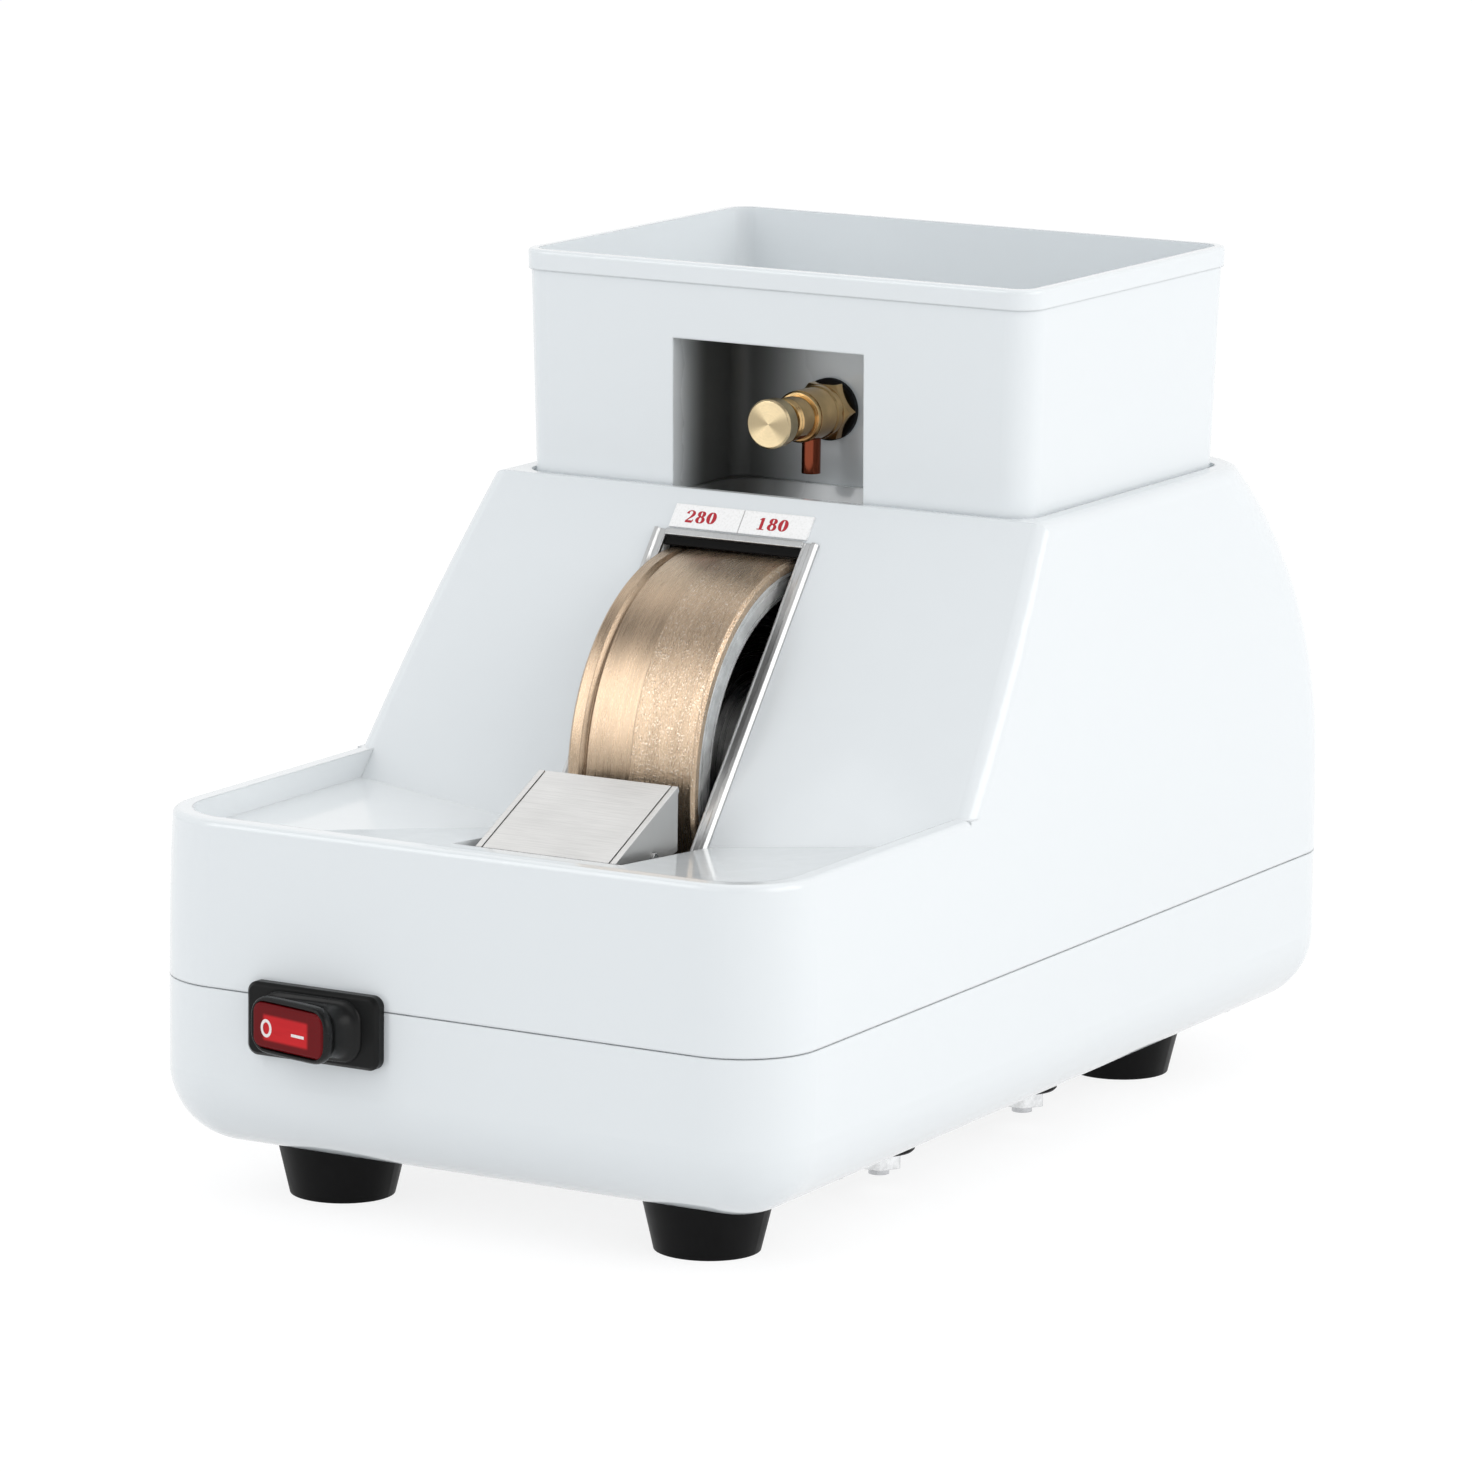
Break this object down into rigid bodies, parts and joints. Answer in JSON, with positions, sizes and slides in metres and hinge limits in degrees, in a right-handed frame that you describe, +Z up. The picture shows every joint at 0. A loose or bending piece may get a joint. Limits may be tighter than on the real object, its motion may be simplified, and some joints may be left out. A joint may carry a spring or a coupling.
{
  "type": "hand lens edger",
  "caption": "Bench edger for spectacle lenses with a two-grit wet grinding wheel, a tray with a tilting rest, a lift-off water tank with a tap, and a front rocker switch.",
  "frame": {"origin": "centre of the bounding box's footprint, on the table under the feet", "axes": "+X to the right of the person who faces the wheel, +Y to the back, +Z up"},
  "size_m": [0.1704, 0.3268, 0.211],
  "materials": {
    "casing_white": "gloss",
    "tank_white": "gloss",
    "bronze_fine": "fine ground",
    "bronze_coarse": "speckled with grit",
    "wheel_aluminium": "turned",
    "bright_steel": "brushed",
    "plated_steel": "zinc plated",
    "ground_steel": "ground",
    "core_steel": "laminated",
    "motor_paint": "satin",
    "cradle_paint": "satin",
    "cover_aluminium": "die cast",
    "brass": "turned",
    "copper": "drawn, darkened",
    "black_rubber": "matte",
    "black_plastic": "satin",
    "red_lens": "gloss",
    "plate_white": "printed plate",
    "grey_plastic": "satin",
    "capacitor_grey": "satin"
  },
  "bodies": {
    "casing": {"upper_casing": "casing_white", "lower_casing": "casing_white", "slot_frame": "bright_steel", "splash_lip": "black_rubber", "fine_plate": "plate_white", "coarse_plate": "plate_white", "motor_drum": "motor_paint", "motor_front_cover": "cover_aluminium", "motor_rear_cover": "cover_aluminium", "front_bearing": "ground_steel", "rear_bearing": "ground_steel", "motor_cradle": "cradle_paint", "motor_straps": "plated_steel", "strap_screws": "plated_steel", "mount_bolts": "plated_steel", "mount_washers": "black_rubber", "mount_nuts": "plated_steel", "run_capacitor": "capacitor_grey", "capacitor_clip": "plated_steel", "terminal_block": "grey_plastic", "splash_well": "grey_plastic", "shaft_seal": "black_rubber", "drain_pipe": "grey_plastic", "rest_pin": "bright_steel", "switch_bezel": "black_plastic", "switch_boot": "black_rubber", "switch_body": "black_plastic", "switch_terminals": "brass", "rubber_feet": "black_rubber", "foot_screws": "plated_steel", "casing_screws": "plated_steel", "cord_gland": "black_plastic"},
    "wheel": {"fine_band": "bronze_fine", "coarse_band": "bronze_coarse", "wheel_hub": "wheel_aluminium", "wheel_washer": "plated_steel", "wheel_nut": "plated_steel", "motor_shaft": "ground_steel", "motor_rotor": "core_steel"},
    "rocker": {"rocker_cap": "black_rubber", "rocker_lens": "red_lens"},
    "lens_rest": {"lens_rest": "bright_steel"},
    "tank": {"water_tank": "tank_white", "tap_body": "brass", "tap_spout": "copper", "tap_gasket": "black_rubber", "tap_washer": "black_rubber", "tap_backnut": "brass"},
    "tap_knob": {"tap_knob": "brass"}
  },
  "joints": [
    {"name": "wheel_spin", "type": "hinge", "parent": "casing", "child": "wheel", "pos_m": [-0.0033, -0.01379, 0.093], "axis": [1, 0, 0], "continuous": true},
    {"name": "rocker_tilt", "type": "hinge", "parent": "casing", "child": "rocker", "pos_m": [-0.0349, -0.15109, 0.0489], "axis": [0, 0, 1], "range_deg": [0, 26]},
    {"name": "rest_tilt", "type": "hinge", "parent": "casing", "child": "lens_rest", "pos_m": [-0.0033, -0.08509, 0.0822], "axis": [1, 0, 0], "range_deg": [0, 55]},
    {"name": "tank_lift", "type": "slide", "parent": "casing", "child": "tank", "axis": [0, 0, 1], "range_m": [0, 0.06]},
    {"name": "knob_turn", "type": "hinge", "parent": "tank", "child": "tap_knob", "pos_m": [-0.001, -0.00029, 0.173], "axis": [0, -1, 0], "range_deg": [0, 270]}
  ]
}
